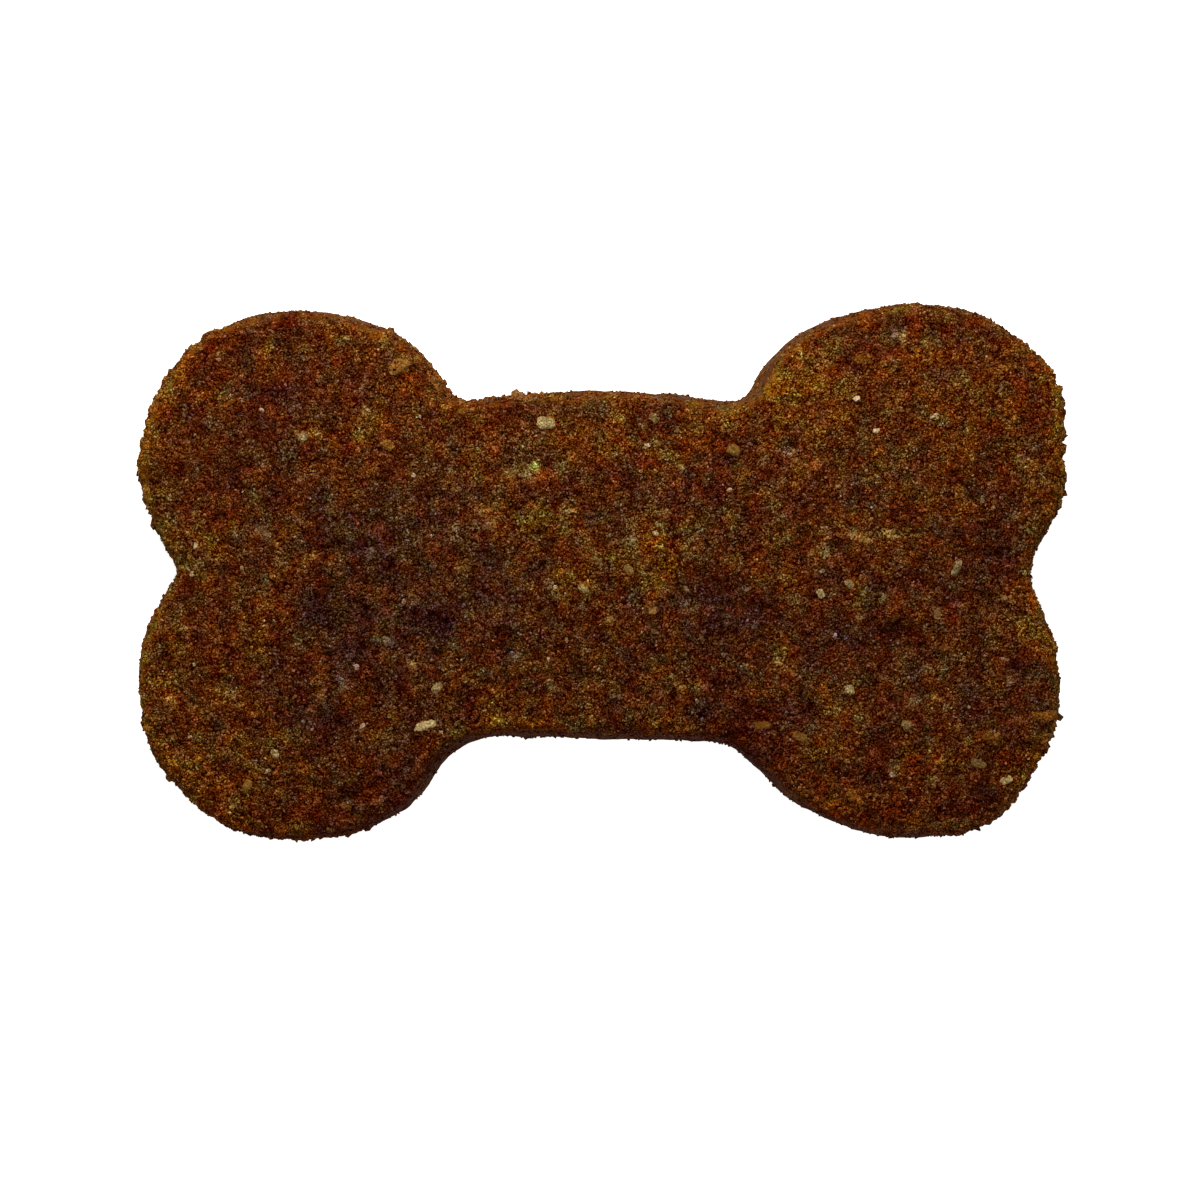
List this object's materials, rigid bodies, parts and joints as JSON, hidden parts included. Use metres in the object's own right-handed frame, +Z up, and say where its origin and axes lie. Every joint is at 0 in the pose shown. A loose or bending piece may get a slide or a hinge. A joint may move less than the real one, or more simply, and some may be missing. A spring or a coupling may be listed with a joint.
{
  "type": "baked dog chew",
  "caption": "Bone-shaped baked dog chew: a thick slab of coarse brown dough with a crumbly top, rounded lobes and a flat underside.",
  "frame": {"origin": "middle of the underside, on the surface that the chew lies on", "axes": "+X along the bone, +Y across it, +Z up out of the crumbly top"},
  "size_m": [0.0594, 0.0346, 0.0076],
  "materials": {
    "baked_dough": "dull, coarse baked dough: rusty brown crumbs over an olive-brown base, with pale bran flakes"
  },
  "bodies": {
    "root": {"dog_chew": "baked_dough"}
  },
  "joints": []
}
